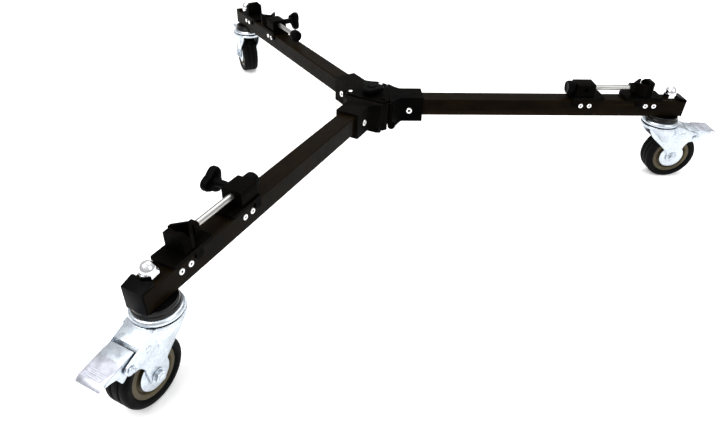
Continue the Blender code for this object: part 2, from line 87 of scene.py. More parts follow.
ARM = arm_axes("right")
CASTER = caster_axes("right")
AXLE = local_point(CASTER, JOINTS["wheel_turn_right"]["pos_m"])
PEDAL_PIVOT = local_point(CASTER, JOINTS["pedal_turn_right"]["pos_m"])
KINGPIN_X = local_point(ARM, JOINTS["swivel_right"]["pos_m"]).x
BACK = arm_axes("back")
STAR_AT = local_point(BACK, JOINTS["star_turn_back"]["pos_m"])
STAR_ARMS = [arm for arm in ARMS if f"star_turn_{arm}" in JOINTS]


def extent(node, axes):
    """A node's lowest and highest corner in local axes."""
    corners = [local_point(axes, vertex.co) for vertex in NODES[node].data.vertices]
    low = Vector([min(c[i] for c in corners) for i in range(3)])
    high = Vector([max(c[i] for c in corners) for i in range(3)])
    return low, high


TYRE_LOW, TYRE_HIGH = extent("wheel_tyre_right", CASTER)
WHEEL_RADIUS = (TYRE_HIGH.x - TYRE_LOW.x) / 2
TYRE_HALF = TYRE_HIGH.y
CORE_LOW, CORE_HIGH = extent("wheel_core_right", CASTER)
CORE_RADIUS = (CORE_HIGH.x - CORE_LOW.x) / 2
CORE_HALF = CORE_HIGH.y
PEDAL_END = extent("brake_pedal_front", caster_axes("front"))[1].x
RACE_RADIUS = extent("caster_race_right", CASTER)[1].x
TUBE_HALF = extent("arm_tube_right", ARM)[1].y
TUBE_END = extent("arm_tube_right", ARM)[1].x
CAP_START = extent("end_cap_right", ARM)[0].x
RIVET_Z = sum(corner.z for corner in extent("clamp_rivets_right", ARM)) / 2
COLLAR_TOP = extent("arm_tube_right", ARM)[0].z - 0.0003
RIVET_HEAD = extent("clamp_rivets_right", ARM)[1].y
RIVET_FACE = RIVET_HEAD - 0.0010
FORK_OUTSIDE = 0.0177
FORK_INSIDE = 0.0152
PEDAL_RISE = 8.0  # degrees by which a released pedal stands higher than a pressed one
CLAMP_RIVETS = (0.312, 0.325, 0.411, 0.424)  # along the arm
GAP = 0.0003  # between pieces that touch
NUT_CORNER = 0.0098
NUT_ROOM = 0.0114  # radius of the end cap's notch for the nut
AXLE_BORE = 0.0042
GUARD_RADIUS = 0.0185
SHOE_FROM_PIVOT = Vector((0.0086, 0.0, -0.0087))


# Materials


class Nodes:
    """Adds nodes to one material."""

    def __init__(self, material):
        self.tree = material.node_tree
        self.shader = self.tree.nodes["Principled BSDF"]
        self.place = self.tree.nodes.new("ShaderNodeTexCoord").outputs["Object"]

    def link(self, source, target):
        self.tree.links.new(source, target)

    def noise(self, scale, detail=3.0, stretch=(1.0, 1.0, 1.0), roughness=0.5):
        mapping = self.tree.nodes.new("ShaderNodeMapping")
        mapping.inputs["Scale"].default_value = stretch
        self.link(self.place, mapping.inputs["Vector"])
        node = self.tree.nodes.new("ShaderNodeTexNoise")
        node.inputs["Scale"].default_value = scale
        node.inputs["Detail"].default_value = detail
        node.inputs["Roughness"].default_value = roughness
        self.link(mapping.outputs["Vector"], node.inputs["Vector"])
        return node.outputs["Fac"]

    def cells(self, scale):
        node = self.tree.nodes.new("ShaderNodeTexVoronoi")
        node.inputs["Scale"].default_value = scale
        self.link(self.place, node.inputs["Vector"])
        return node.outputs["Color"]

    def ramp(self, source, stops):
        node = self.tree.nodes.new("ShaderNodeValToRGB")
        elements = node.color_ramp.elements
        while len(elements) < len(stops):
            elements.new(0.5)
        for element, (at, colour) in zip(elements, stops):
            element.position = at
            element.color = (*colour, 1.0)
        self.link(source, node.inputs["Fac"])
        return node.outputs["Color"]

    def span(self, source, low, high):
        node = self.tree.nodes.new("ShaderNodeMapRange")
        node.inputs["From Min"].default_value = 0.3
        node.inputs["From Max"].default_value = 0.7
        node.inputs["To Min"].default_value = low
        node.inputs["To Max"].default_value = high
        self.link(source, node.inputs["Value"])
        return node.outputs["Result"]

    def mix(self, factor, first, second):
        node = self.tree.nodes.new("ShaderNodeMix")
        node.data_type = "RGBA"
        self.link(factor, node.inputs["Factor"])
        for source, name in ((first, "A"), (second, "B")):
            socket = [s for s in node.inputs if s.name == name and s.type == "RGBA"][0]
            self.link(source, socket)
        return [s for s in node.outputs if s.type == "RGBA"][0]

    def edge_wear(self, low, high):
        geometry = self.tree.nodes.new("ShaderNodeNewGeometry")
        node = self.tree.nodes.new("ShaderNodeMapRange")
        node.inputs["From Min"].default_value = low
        node.inputs["From Max"].default_value = high
        self.link(geometry.outputs["Pointiness"], node.inputs["Value"])
        return node.outputs["Result"]

    def bump(self, source, strength, distance):
        node = self.tree.nodes.new("ShaderNodeBump")
        node.inputs["Strength"].default_value = strength
        node.inputs["Distance"].default_value = distance
        self.link(source, node.inputs["Height"])
        self.link(node.outputs["Normal"], self.shader.inputs["Normal"])


def new_material(name, metallic=0.0, specular=0.5):
    material = bpy.data.materials.new(name)
    material.use_nodes = True
    nodes = Nodes(material)
    nodes.shader.inputs["Metallic"].default_value = metallic
    nodes.shader.inputs["Specular IOR Level"].default_value = specular
    return material, nodes


def speckled_black(name, low, high, rough, grain, depth, specular):
    """A black finish: cloudy tone, worn edges, a fine grain in the surface."""
    material, nodes = new_material(name, specular=specular)
    cloud = nodes.noise(38.0, 5.0)
    tone = nodes.ramp(cloud, [(0.32, low), (0.70, high)])
    worn = tuple(3.2 * channel for channel in high)
    wear = nodes.ramp(nodes.noise(260.0, 4.0), [(0.3, high), (0.8, worn)])
    colour = nodes.mix(nodes.edge_wear(0.53, 0.66), tone, wear)
    nodes.link(colour, nodes.shader.inputs["Base Color"])
    roughness = nodes.span(nodes.noise(90.0, 4.0), rough - 0.05, rough + 0.09)
    nodes.link(roughness, nodes.shader.inputs["Roughness"])
    nodes.bump(nodes.noise(grain, 2.0), 0.35, depth)
    return material


def zinc_plate(name, low, high, rough):
    """Bright zinc: bluish, cloudy, with a fine spangle and drawn streaks."""
    material, nodes = new_material(name, metallic=1.0)
    cloud = nodes.ramp(nodes.noise(28.0, 3.0), [(0.22, low), (0.78, high)])
    spangle = nodes.ramp(nodes.cells(420.0), [(0.1, low), (0.9, high)])
    streak = nodes.noise(30.0, 3.0, stretch=(14.0, 14.0, 1.0))
    nodes.link(nodes.mix(streak, cloud, spangle), nodes.shader.inputs["Base Color"])
    roughness = nodes.span(nodes.noise(150.0, 5.0), rough - 0.07, rough + 0.12)
    nodes.link(roughness, nodes.shader.inputs["Roughness"])
    nodes.bump(nodes.noise(520.0, 3.0), 0.08, 0.0002)
    return material


def brushed_steel(name, low, high, rough, stretch):
    material, nodes = new_material(name, metallic=1.0)
    lines = nodes.noise(900.0, 2.0, stretch=stretch)
    nodes.link(nodes.ramp(lines, [(0.25, low), (0.75, high)]), nodes.shader.inputs["Base Color"])
    nodes.link(nodes.span(lines, rough - 0.06, rough + 0.08), nodes.shader.inputs["Roughness"])
    nodes.bump(lines, 0.25, 0.0002)
    return material


def polished_chrome():
    material, nodes = new_material("chrome", metallic=1.0)
    tone = nodes.ramp(nodes.noise(70.0, 3.0), [(0.3, (0.74, 0.75, 0.78)), (0.7, (0.90, 0.90, 0.92))])
    nodes.link(tone, nodes.shader.inputs["Base Color"])
    nodes.link(nodes.span(nodes.noise(200.0, 4.0), 0.04, 0.13), nodes.shader.inputs["Roughness"])
    nodes.bump(nodes.noise(35.0, 1.0), 0.10, 0.0006)
    return material


BLACK_RUBBER = (0.0010, 0.0011, 0.0012)
GREY_RUBBER = (0.0030, 0.0030, 0.0032)
DUST = (0.012, 0.011, 0.010)


def tyre_rubber():
    """Grey-black rubber with a dusty bloom and the swirl that moulding leaves."""
    material, nodes = new_material("tyre_rubber", specular=0.05)
    cloud = nodes.noise(45.0, 6.0, roughness=0.7)
    nodes.link(
        nodes.ramp(cloud, [(0.30, BLACK_RUBBER), (0.60, GREY_RUBBER), (0.85, DUST)]),
        nodes.shader.inputs["Base Color"],
    )
    nodes.link(nodes.span(nodes.noise(180.0, 4.0), 0.50, 0.70), nodes.shader.inputs["Roughness"])
    nodes.bump(nodes.noise(700.0, 3.0), 0.30, 0.0004)
    return material


def core_plastic():
    material, nodes = new_material("core_plastic", specular=0.30)
    cloud = nodes.noise(50.0, 5.0)
    tone = nodes.ramp(cloud, [(0.30, (0.040, 0.031, 0.013)), (0.72, (0.078, 0.060, 0.026))])
    nodes.link(tone, nodes.shader.inputs["Base Color"])
    nodes.link(nodes.span(nodes.noise(120.0, 4.0), 0.34, 0.52), nodes.shader.inputs["Roughness"])
    nodes.bump(nodes.noise(480.0, 2.0), 0.25, 0.0003)
    return material


PAINT = speckled_black(
    "arm_paint",
    low=(0.0020, 0.0011, 0.0004),
    high=(0.0050, 0.0030, 0.0010),
    rough=0.36,
    grain=420.0,
    depth=0.0002,
    specular=0.02,
)
CASTING = speckled_black(
    "casting",
    low=(0.0005, 0.0005, 0.0005),
    high=(0.0016, 0.0013, 0.0010),
    rough=0.46,
    grain=620.0,
    depth=0.0004,
    specular=0.01,
)
PLASTIC = speckled_black(
    "black_plastic",
    low=(0.0005, 0.0005, 0.0006),
    high=(0.0016, 0.0016, 0.0018),
    rough=0.40,
    grain=900.0,
    depth=0.0003,
    specular=0.02,
)
COLLAR = speckled_black(
    "collar_black",
    low=(0.0006, 0.0006, 0.0007),
    high=(0.0018, 0.0018, 0.0019),
    rough=0.20,
    grain=300.0,
    depth=0.0001,
    specular=0.25,
)
ZINC = zinc_plate("zinc", (0.44, 0.49, 0.55), (0.70, 0.75, 0.80), 0.28)
PEDAL_ZINC = zinc_plate("pedal_zinc", (0.42, 0.44, 0.50), (0.60, 0.61, 0.67), 0.36)
ROD_STEEL = brushed_steel("rod_steel", (0.26, 0.26, 0.25), (0.58, 0.57, 0.55), 0.30, (0.03, 1.0, 1.0))
RIVET_STEEL = brushed_steel("rivet_steel", (0.82, 0.82, 0.82), (0.95, 0.95, 0.95), 0.30, (1.0, 1.0, 1.0))
CHROME = polished_chrome()
RUBBER = tyre_rubber()
CORE = core_plastic()


# Shapes


def object_from(bm, name):
    bmesh.ops.remove_doubles(bm, verts=bm.verts, dist=0.0000005)
    bmesh.ops.recalc_face_normals(bm, faces=bm.faces)
    mesh = bpy.data.meshes.new(name)
    bm.to_mesh(mesh)
    bm.free()
    obj = bpy.data.objects.new(name, mesh)
    bpy.context.scene.collection.objects.link(obj)
    return obj


def smooth(obj, angle=32.0):
    obj.data.shade_smooth()
    obj.data.set_sharp_from_angle(angle=radians(angle))
    return obj


def rounded(points, radius, steps=4, closed=True):
    """An outline with its corners rounded, each by no more than half its shorter side."""
    result = []
    count = len(points)
    for i, point in enumerate(points):
        if not closed and i in (0, count - 1):
            result.append(tuple(point))
            continue
        here = Vector(point)
        before = Vector(points[i - 1]) - here
        after = Vector(points[(i + 1) % count]) - here
        start = here + before * min(radius / before.length, 0.5)
        end = here + after * min(radius / after.length, 0.5)
        for step in range(steps + 1):
            t = step / steps
            result.append(tuple(start * (1 - t) ** 2 + here * 2 * t * (1 - t) + end * t * t))
    return result


def arc(x, z, radius, start, end, steps):
    turns = [radians(start + (end - start) * i / steps) for i in range(steps + 1)]
    return [(x + radius * cos(a), z + radius * sin(a)) for a in turns]


def lathe(name, profile, steps=96, along="Z", closed=True):
    """A solid of revolution from (radius, height) points, about Z or laid along another axis."""
    bm = bmesh.new()
    verts = [bm.verts.new((radius, 0.0, height)) for radius, height in profile]
    count = len(verts)
    pairs = [(i, i + 1) for i in range(count - 1)]
    if closed:
        pairs.append((count - 1, 0))
    edges = [bm.edges.new((verts[a], verts[b])) for a, b in pairs]
    bmesh.ops.spin(bm, geom=verts + edges, cent=(0, 0, 0), axis=(0, 0, 1), angle=2 * pi, steps=steps)
    turn = {
        "Z": Matrix.Identity(4),
        "Y": Matrix.Rotation(-pi / 2, 4, "X"),
        "X": Matrix.Rotation(pi / 2, 4, "Y"),
    }
    bm.transform(turn[along])
    return smooth(object_from(bm, name))


def plate(name, outline, low, high, plane="XZ", bevel=0.0004):
    """An outline in the XZ or the XY plane, extruded from low to high along the third axis."""
    bm = bmesh.new()
    if plane == "XZ":
        points = [(x, low, z) for x, z in outline]
        along = Vector((0, high - low, 0))
    else:
        points = [(x, y, low) for x, y in outline]
        along = Vector((0, 0, high - low))
    face = bm.faces.new([bm.verts.new(p) for p in points])
    made = bmesh.ops.extrude_face_region(bm, geom=[face])["geom"]
    bmesh.ops.translate(bm, vec=along, verts=[g for g in made if isinstance(g, bmesh.types.BMVert)])
    obj = object_from(bm, name)
    if bevel:
        add_bevel(obj, bevel)
    return smooth(obj)


def add_bevel(obj, width, angle=40.0):
    bevel = obj.modifiers.new("edges", "BEVEL")
    bevel.width = width
    bevel.segments = 2
    bevel.limit_method = "ANGLE"
    bevel.angle_limit = radians(angle)


def settle(obj, *others):
    """Applies the modifiers of these objects and joins their meshes into the first."""
    graph = bpy.context.evaluated_depsgraph_get()
    bm = bmesh.new()
    for each in (obj, *others):
        mesh = bpy.data.meshes.new_from_object(each.evaluated_get(graph))
        mesh.transform(each.matrix_world)
        bm.from_mesh(mesh)
    name = obj.name
    for each in (obj, *others):
        bpy.data.objects.remove(each)
    mesh = bpy.data.meshes.new(name)
    bm.to_mesh(mesh)
    bm.free()
    joined = bpy.data.objects.new(name, mesh)
    bpy.context.scene.collection.objects.link(joined)
    return smooth(joined)


def carve(obj, tool, operation="DIFFERENCE"):
    """A Boolean with a tool that is then removed."""
    modifier = obj.modifiers.new("carve", "BOOLEAN")
    modifier.operation = operation
    modifier.object = tool
    graph = bpy.context.evaluated_depsgraph_get()
    mesh = bpy.data.meshes.new_from_object(obj.evaluated_get(graph))
    obj.modifiers.clear()
    obj.data = mesh
    bpy.data.objects.remove(tool)
    return smooth(obj)


def softened(node, width):
    """A copy of a CAD node's mesh with its edges rounded."""
    bm = bmesh.new()
    bm.from_mesh(NODES[node].data)
    bmesh.ops.remove_doubles(bm, verts=bm.verts, dist=0.000001)
    bmesh.ops.dissolve_limit(bm, angle_limit=radians(0.6), verts=bm.verts, edges=bm.edges)
    obj = object_from(bm, f"{node}_shell")
    add_bevel(obj, width, 48.0)
    return smooth(obj)


def place(obj, material, body, axes=None, replaced=()):
    """Gives a finished piece its finish, its place and the body it moves with."""
    obj.data.materials.clear()
    obj.data.materials.append(material)
    for polygon in obj.data.polygons:
        polygon.material_index = 0
    if axes is not None:
        obj.matrix_world = axes
    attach(obj, body)
    if replaced:
        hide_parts(*replaced)
    return obj


# The caster


def make_tyre(arm):
    radius, half = WHEEL_RADIUS, TYRE_HALF
    groove, depth = 0.0046, 0.0017
    side = [
        (CORE_RADIUS + GAP, 0.0122),
        (0.0292, 0.0126),
        (0.0300, half - 0.0002),
        (0.0338, half),
        (0.0352, half - 0.0006),
    ]
    crown = [
        (0.0368, 0.0124),
        (radius, 0.0098),
        (radius, groove + 0.0011),
        (radius - depth, groove + 0.0007),
        (radius - depth, groove - 0.0007),
        (radius, groove - 0.0011),
    ]
    upper = side + crown
    profile = rounded(upper + [(r, -y) for r, y in reversed(upper)], 0.0009, 3)
    axes = caster_axes(arm) @ Matrix.Translation(AXLE)
    tyre = lathe(f"tyre_{arm}", profile, 120, "Y")
    place(tyre, RUBBER, f"wheel_{arm}", axes, [f"wheel_tyre_{arm}"])


def make_core(arm):
    bore = 0.0043
    upper = [
        (bore, CORE_HALF),
        (0.0105, CORE_HALF),
        (0.0125, 0.0092),
        (0.0205, 0.0088),
        (0.0222, 0.0121),
        (0.0236, 0.0127),
        (0.0250, 0.0118),
        (CORE_RADIUS, 0.0122),
    ]
    profile = rounded(upper + [(r, -y) for r, y in reversed(upper)], 0.0006, 3)
    axes = caster_axes(arm) @ Matrix.Translation(AXLE)
    core = lathe(f"core_{arm}", profile, 96, "Y")
    place(core, CORE, f"wheel_{arm}", axes, [f"wheel_core_{arm}"])


def make_axle(arm):
    """Thread guards dished towards the wheel, and the bolt with its washers, head and nut."""
    axes = caster_axes(arm) @ Matrix.Translation(AXLE)
    guard_edge = 0.0137
    pieces = []
    for side in BOTH_SIDES:
        outer = FORK_INSIDE - GAP
        profile = [
            (AXLE_BORE, side * outer),
            (0.0115, side * outer),
            (0.0150, side * (outer - 0.0003)),
            (GUARD_RADIUS - 0.0012, side * (guard_edge + 0.0006)),
            (GUARD_RADIUS, side * guard_edge),
            (GUARD_RADIUS - 0.0006, side * (guard_edge - 0.0002)),
            (0.0140, side * (guard_edge + 0.0001)),
            (AXLE_BORE, side * (guard_edge + 0.0001)),
        ]
        pieces.append(lathe("guard", rounded(profile, 0.0008, 3), 80, "Y"))
        face = FORK_OUTSIDE + 0.0002
        washer_radius, washer_top = 0.0082, face + 0.0009
        washer = [(0.0, side * face), (washer_radius, side * face)]
        washer += [(washer_radius, side * washer_top), (0.0, side * washer_top)]
        pieces.append(lathe("washer", rounded(washer, 0.0002, 2, closed=False), 48, "Y", closed=False))
        hexagon = arc(0.0, 0.0, 0.0068, 0.0, 300.0, 5)
        low, high = sorted((side * washer_top, side * (face + 0.0042)))
        pieces.append(plate("head", hexagon, low, high, "XZ", 0.0004))
        end = [(0.0, 0.0215), (0.0036, 0.0215), (0.0036, 0.0228), (0.0, 0.0232)]
        end = [(radius, side * y) for radius, y in end]
        pieces.append(lathe("bolt_end", rounded(end, 0.0004, 2, closed=False), 32, "Y", closed=False))
    bolt = [(0.0, 0.0180), (0.0039, 0.0180), (0.0039, -0.0180), (0.0, -0.0180)]
    axle = settle(lathe(f"axle_bolt_{arm}", bolt, 32, "Y", closed=False), *pieces)
    place(axle, ZINC, f"fork_{arm}", axes, [f"axle_set_{arm}"])


def leg_outline():
    """The side of the fork: a broad shoulder, a leg to the axle and a horn out to the pedal's pivot."""
    x, z = AXLE.x, AXLE.z
    px, pz = PEDAL_PIVOT.x, PEDAL_PIVOT.z
    top = -0.0412
    front = [(-0.0215, top), (-0.0205, -0.0470), (-0.0120, -0.0600), (0.0060, -0.0740), (0.0190, -0.0860)]
    boss = arc(x, z, 0.0098, 165.0, 340.0, 10)
    crotch = [(0.0418, -0.0860), (0.0425, -0.0735), (0.0480, -0.0668)]
    horn = arc(px, pz, 0.0064, -75.0, 78.0, 8)
    back = [(0.0440, -0.0478), (0.0300, -0.0425), (0.0230, top)]
    front = rounded(front, 0.006, 3, closed=False)
    crotch = rounded(crotch, 0.004, 3, closed=False)
    return front + boss + crotch + horn + back


def shoulder(side):
    """The pressed flank that blends the round crown into a flat leg."""
    bm = bmesh.new()
    rows, columns = 8, 20
    grid = []
    for row in range(rows + 1):
        t = row / rows
        ease = t * t * (3 - 2 * t)
        line = []
        for column in range(columns + 1):
            angle = radians(38.0 + 104.0 * column / columns)
            top = Vector((0.0264 * cos(angle), 0.0264 * sin(angle), -0.0440))
            foot = Vector((0.0130 + 0.0130 * cos(angle), FORK_OUTSIDE, -0.0560 - 0.0170 * sin(angle) ** 2))
            point = top.lerp(foot, t)
            point.y = top.y + (foot.y - top.y) * ease
            line.append(bm.verts.new((point.x, side * point.y, point.z)))
        grid.append(line)
    for low, high in zip(grid, grid[1:]):
        for i in range(columns):
            bm.faces.new((low[i], low[i + 1], high[i + 1], high[i]))
    obj = object_from(bm, "shoulder")
    thick = obj.modifiers.new("metal", "SOLIDIFY")
    thick.thickness = 0.0012
    thick.offset = 0.0
    return smooth(obj, 60.0)


def make_fork(arm):
    crown = [
        (0.0064, -0.0399),
        (0.0215, -0.0399),
        (0.0240, -0.0405),
        (RACE_RADIUS, -0.0412),
        (RACE_RADIUS + 0.0002, -0.0430),
        (0.0262, -0.0455),
        (0.0235, -0.0462),
        (0.0064, -0.0460),
    ]
    fork = lathe(f"fork_shell_{arm}", rounded(crown, 0.0010, 3), 96)
    pieces = []
    rivet_x, rivet_z = 0.0340, -0.0540
    for side in BOTH_SIDES:
        low, high = sorted((side * FORK_INSIDE, side * FORK_OUTSIDE))
        pieces.append(plate("leg", leg_outline(), low, high, "XZ", 0.0006))
        pieces.append(shoulder(side))
        head = [(0.0, 0.0014), (0.0022, 0.0011), (0.0036, 0.0002), (0.0036, -0.0008), (0.0, -0.0008)]
        head = [(radius, side * (FORK_OUTSIDE + y)) for radius, y in head]
        rivet = lathe("rivet", rounded(head, 0.0005, 2, closed=False), 32, "Y", closed=False)
        rivet.matrix_world = Matrix.Translation((rivet_x, 0, rivet_z))
        pieces.append(rivet)
    bridge = [(0.0200, -0.0408), (0.0240, -0.0408), (0.0420, -0.0471), (0.0432, -0.0530)]
    bridge += [(0.0414, -0.0530), (0.0404, -0.0486), (0.0235, -0.0428), (0.0200, -0.0428)]
    pieces.append(plate("bridge", bridge, -FORK_OUTSIDE + 0.0003, FORK_OUTSIDE - 0.0003, "XZ", 0.0006))
    bpy.context.view_layer.update()
    fork = settle(fork, *pieces)
    place(fork, ZINC, f"fork_{arm}", caster_axes(arm), [f"caster_fork_{arm}"])


def make_race(arm):
    """The zinc race, the glossy black collar over it and the black ring that seals it to the fork."""
    race = [
        (0.0060, -0.0335),
        (0.0238, -0.0335),
        (0.0252, -0.0340),
        (0.0266, -0.0358),
        (RACE_RADIUS, -0.0376),
        (0.0266, -0.0391),
        (0.0245, -0.0396),
        (0.0060, -0.0396),
    ]
    shell = lathe(f"race_shell_{arm}", rounded(race, 0.0008, 3), 96)
    stem = [(0.0, 0.0112), (0.0046, 0.0112), (0.0049, 0.0106), (0.0049, -0.0340)]
    stem += [(0.0059, -0.0345), (0.0059, -0.0462), (0.0088, -0.0465), (0.0080, -0.0492), (0.0, -0.0494)]
    shell = settle(shell, lathe("stem", stem, 40, closed=False))
    place(shell, ZINC, f"arm_{arm}", caster_axes(arm), [f"caster_race_{arm}"])

    seal = [(0.0230, -0.0394), (0.0262, -0.0390), (0.0264, -0.0400), (0.0262, -0.0410), (0.0230, -0.0408)]
    place(lathe(f"race_seal_{arm}", seal, 96), CASTING, f"arm_{arm}", caster_axes(arm))

    top = COLLAR_TOP
    collar = [
        (0.0051, top),
        (0.0208, top),
        (0.0222, top - 0.0008),
        (0.0226, -0.0295),
        (0.0236, -0.0302),
        (0.0240, -0.0328),
        (0.0230, -0.0334),
        (0.0051, -0.0334),
    ]
    piece = lathe(f"collar_{arm}", rounded(collar, 0.0006, 3), 96)
    place(piece, COLLAR, f"arm_{arm}", caster_axes(arm))


def pedal_axes(arm):
    """The caster's axes, tilted about the pedal's pivot to the pose that the pedal rests in."""
    pressed_from = JOINTS[f"pedal_turn_{arm}"]["range_deg"][0]
    tilt = Matrix.Rotation(-radians(PEDAL_RISE + pressed_from), 4, "Y")
    about = Matrix.Translation(PEDAL_PIVOT)
    return caster_axes(arm) @ about @ tilt @ about.inverted()


def make_pedal(arm):
    """A bent treadle: a bright carrier on the pivots, and a duller tread plate over its outer end."""
    axes = pedal_axes(arm)
    tip = PEDAL_END
    inner, metal = 0.0462, 0.0018
    slope = 0.170
    wide = 0.0142

    def top_at(x):
        return -0.0470 - slope * (x - inner)

    line = [(inner, top_at(inner)), (0.0660, top_at(0.0660)), (0.0700, top_at(0.0700) - 0.0006)]
    carrier = line + [(x, z - metal) for x, z in reversed(line)]
    body = plate(f"pedal_carrier_{arm}", carrier, -wide, wide, "XZ", 0.0005)
    px, pz = PEDAL_PIVOT.x, PEDAL_PIVOT.z
    shoe_x, shoe_z = px + SHOE_FROM_PIVOT.x, pz + SHOE_FROM_PIVOT.z
    flange = [(0.0800, top_at(0.0800) - 0.0012), (0.0480, top_at(0.0480) - 0.0006)]
    flange += arc(px, pz, 0.0044, 165.0, 225.0, 4) + arc(shoe_x, shoe_z, 0.0021, 225.0, 400.0, 6)
    flange += [(0.0700, -0.0600), (0.0760, -0.0582), (0.0830, -0.0572)]
    pieces = []
    for side in BOTH_SIDES:
        low, high = sorted((side * (wide - metal), side * (wide - 0.0001)))
        pieces.append(plate("flange", rounded(flange, 0.0012, 2), low, high, "XZ", 0.0004))
        head = [(0.0, 0.0204), (0.0020, 0.0204), (0.0026, 0.0198), (0.0042, 0.0192)]
        head += [(0.0042, 0.0181), (0.0025, 0.0181), (0.0025, 0.0125), (0.0, 0.0125)]
        head = [(radius, side * y) for radius, y in head]
        pin = lathe("pivot", head, 32, "Y", closed=False)
        pin.matrix_world = Matrix.Translation((px, 0, pz))
        pieces.append(pin)
    shoe = [(0.0, 0.0138), (0.0019, 0.0138), (0.0019, -0.0138), (0.0, -0.0138)]
    bar = lathe("shoe", shoe, 24, "Y", closed=False)
    bar.matrix_world = Matrix.Translation((shoe_x, 0, shoe_z))
    bpy.context.view_layer.update()
    body = settle(body, bar, *pieces)
    place(body, ZINC, f"pedal_{arm}", axes, [f"brake_pedal_{arm}"])

    rise, tread_start, bend = 0.0007, 0.0610, tip - 0.0050
    upper = [(tread_start, top_at(tread_start) + rise), (bend, top_at(bend) + rise)]
    upper.append((tip - 0.0005, top_at(tip) - 0.0018))
    tread = upper + [(x - 0.0003, z - 0.0016) for x, z in reversed(upper)]
    cover = plate(f"pedal_tread_{arm}", tread, -wide - 0.0001, wide + 0.0001, "XZ", 0.0004)
    add_ribs(cover, top_at, tip, rise)
    place(cover, PEDAL_ZINC, f"pedal_{arm}", axes)


def add_ribs(cover, top_at, tip, rise):
    """Presses shallow grip lines across the tread plate."""
    for step in range(3):
        x = tip - 0.0080 - 0.0035 * step
        radius = 0.0011
        bm = bmesh.new()
        bmesh.ops.create_cone(bm, cap_ends=True, segments=16, radius1=radius, radius2=radius, depth=0.022)
        at = Matrix.Translation((x, 0, top_at(x) + rise + radius * 0.65))
        bm.transform(at @ Matrix.Rotation(pi / 2, 4, "X"))
        carve(cover, object_from(bm, "rib"))


# The arm


def make_cap_nut(arm):
    axes = arm_axes(arm) @ Matrix.Translation((KINGPIN_X, 0, 0))
    skirt = plate(f"dome_nut_{arm}", arc(0.0, 0.0, NUT_CORNER, 0.0, 300.0, 5), 0.0004, 0.0082, "XY", 0)
    chamfer = [(0.0, -0.001), (0.0125, -0.001), (0.0125, 0.0050), (0.0086, 0.0084), (0.0, 0.0084)]
    carve(skirt, lathe("chamfer", chamfer, 64, closed=False), "INTERSECT")
    add_bevel(skirt, 0.0002)
    dome_foot, dome_height, dome_radius = 0.0078, 0.0100, 0.0086
    turns = [i * pi / 24 for i in range(13)]
    dome = [(dome_radius * sin(a), dome_foot + dome_height * cos(a)) for a in turns]
    dome += [(dome_radius + 0.0002, 0.0076), (0.0, 0.0076)]
    nut = settle(skirt, lathe("dome", dome, 64, closed=False))
    place(nut, CHROME, f"arm_{arm}", axes, [f"cap_nut_{arm}"])


def ring_rivet(name, x, z, face, head, radius, bore, axes, body, replaced):
    """A tubular rivet's two rolled heads, joined by its hollow shank, with a black plug in its bore as painted
    shade.
    """
    ring = [
        (bore, face - 0.0010),
        (radius, face - 0.0010),
        (radius, face + 0.0002),
        (radius - 0.0006, head),
        (bore + 0.0005, head),
        (bore, head - 0.0004),
    ]
    rings = []
    for side in BOTH_SIDES:
        turned = [(r, side * y) for r, y in ring]
        rings.append(lathe(name, rounded(turned, 0.0003, 2), 40, "Y"))
    wall, shank_end = bore + 0.0008, face - 0.0005
    shank = [(bore, shank_end), (wall, shank_end), (wall, -shank_end), (bore, -shank_end)]
    rings.append(lathe(name, shank, 24, "Y"))
    rivet = settle(*rings)
    rivet.name = name
    at = axes @ Matrix.Translation((x, 0, z))
    place(rivet, RIVET_STEEL, body, at, replaced)
    # Painted shade: a black plug in the casting finish fills the bore and stands in for the shade inside the
    # hollow rivet.
    end, edge = face + 0.0003, bore + 0.0002
    core = [(0.0, end), (edge, end), (edge, -end), (0.0, -end)]
    place(lathe(f"{name}_core", core, 24, "Y", closed=False), CASTING, body, at)


def make_rivets(arm):
    axes = arm_axes(arm)
    body = f"arm_{arm}"
    for index, x in enumerate(CLAMP_RIVETS):
        replaced = [f"clamp_rivets_{arm}"] if index == 0 else []
        name = f"clamp_rivet_{arm}_{index}"
        ring_rivet(name, x, RIVET_Z, RIVET_FACE, RIVET_HEAD, 0.0036, 0.0013, axes, body, replaced)
    low, high = extent("socket_rivet_right", ARM)
    middle = (low + high) / 2
    head, replaced = high.y, [f"socket_rivet_{arm}"]
    name = f"socket_ring_{arm}"
    ring_rivet(name, middle.x, middle.z, head - 0.0013, head, 0.0046, 0.0020, axes, body, replaced)


def make_rod(arm):
    """The ground rod, and the fluted knob on its inner end, at the place of the arm's own rod."""
    axes = arm_axes(arm)
    low, high = extent(f"clamp_rod_{arm}", axes)
    radius, edge = (high.z - low.z) / 2, 0.0004
    middle_z = (high.z + low.z) / 2
    profile = [(0.0, low.x), (radius - edge, low.x), (radius, low.x + edge)]
    profile += [(radius, high.x - edge), (radius - edge, high.x), (0.0, high.x)]
    rod = lathe(f"rod_{arm}", profile, 48, "X", closed=False)
    at = axes @ Matrix.Translation((0, 0, middle_z))
    place(rod, ROD_STEEL, f"rod_{arm}", at, [f"clamp_rod_{arm}"])

    low, high = extent(f"rod_knob_{arm}", axes)
    knob = fluted_knob(f"knob_{arm}", low.x, high.x, (high.z - low.z) / 2)
    place(knob, PLASTIC, f"rod_{arm}", at, [f"rod_knob_{arm}"])


